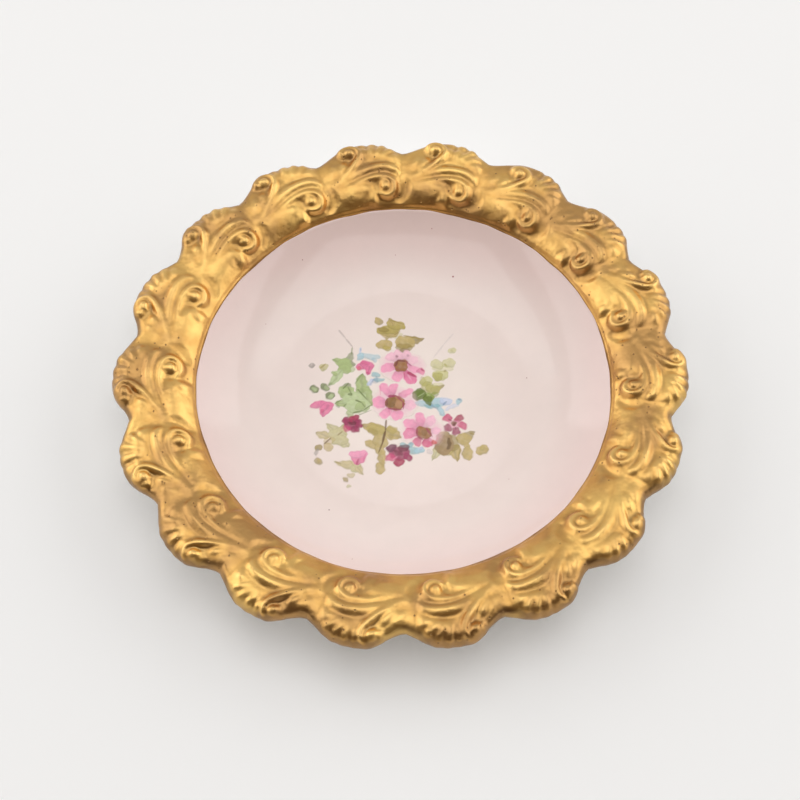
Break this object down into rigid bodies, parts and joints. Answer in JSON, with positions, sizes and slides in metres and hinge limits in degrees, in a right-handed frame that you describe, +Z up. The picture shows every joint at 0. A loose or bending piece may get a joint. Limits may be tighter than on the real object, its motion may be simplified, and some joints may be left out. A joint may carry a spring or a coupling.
{
  "type": "pin dish",
  "caption": "Round porcelain pin dish with a lobed, gilt scroll-moulded border, a pink well and a painted flower spray.",
  "frame": {"origin": "on the resting surface, under the middle of the foot ring", "axes": "+Z up through the middle of the dish; the spray's top points to +Y"},
  "size_m": [0.1272, 0.1258, 0.0178],
  "materials": {
    "porcelain": "clear glaze over white porcelain",
    "gilt": "burnished gold film over moulded porcelain, satin",
    "pink_ground": "glossy pale pink ground",
    "rose": "fired enamel, glossy",
    "maroon": "fired enamel, glossy",
    "blue": "fired enamel, glossy",
    "green": "fired enamel, glossy",
    "lime": "fired enamel, glossy",
    "olive": "fired enamel, glossy",
    "brown": "fired enamel, glossy"
  },
  "bodies": {
    "root": {"porcelain_body": "porcelain", "gilt_border": "gilt", "pink_ground": "pink_ground", "daisy_upper": "rose", "daisy_upper_centre": "brown", "daisy_middle": "rose", "daisy_middle_centre": "brown", "daisy_lower": "rose", "daisy_lower_centre": "brown", "blossom_left": "maroon", "blossom_right": "maroon", "blossom_low": "maroon", "bud_high": "rose", "bud_left": "rose", "bud_low": "rose", "sprig_high": "blue", "sprig_middle": "blue", "sprig_right": "blue", "sprig_low": "blue", "leaf_top": "olive", "leaf_crown": "olive", "leaf_high_left": "green", "leaf_broad": "green", "leaf_high_right": "lime", "leaf_right": "lime", "leaf_small": "green", "leaf_low_left": "olive", "leaf_middle": "olive", "leaf_foot": "olive", "leaf_low_right": "brown", "leaf_outer_right": "brown", "berry_1": "olive", "berry_2": "olive", "berry_3": "olive", "berry_4": "olive", "berry_5": "olive", "berry_6": "olive", "berry_7": "olive", "berry_8": "olive", "berry_9": "olive", "berry_10": "olive", "berry_11": "olive", "berry_12": "olive", "stem_left": "olive", "stem_middle": "olive", "stem_right": "olive"}
  },
  "joints": []
}
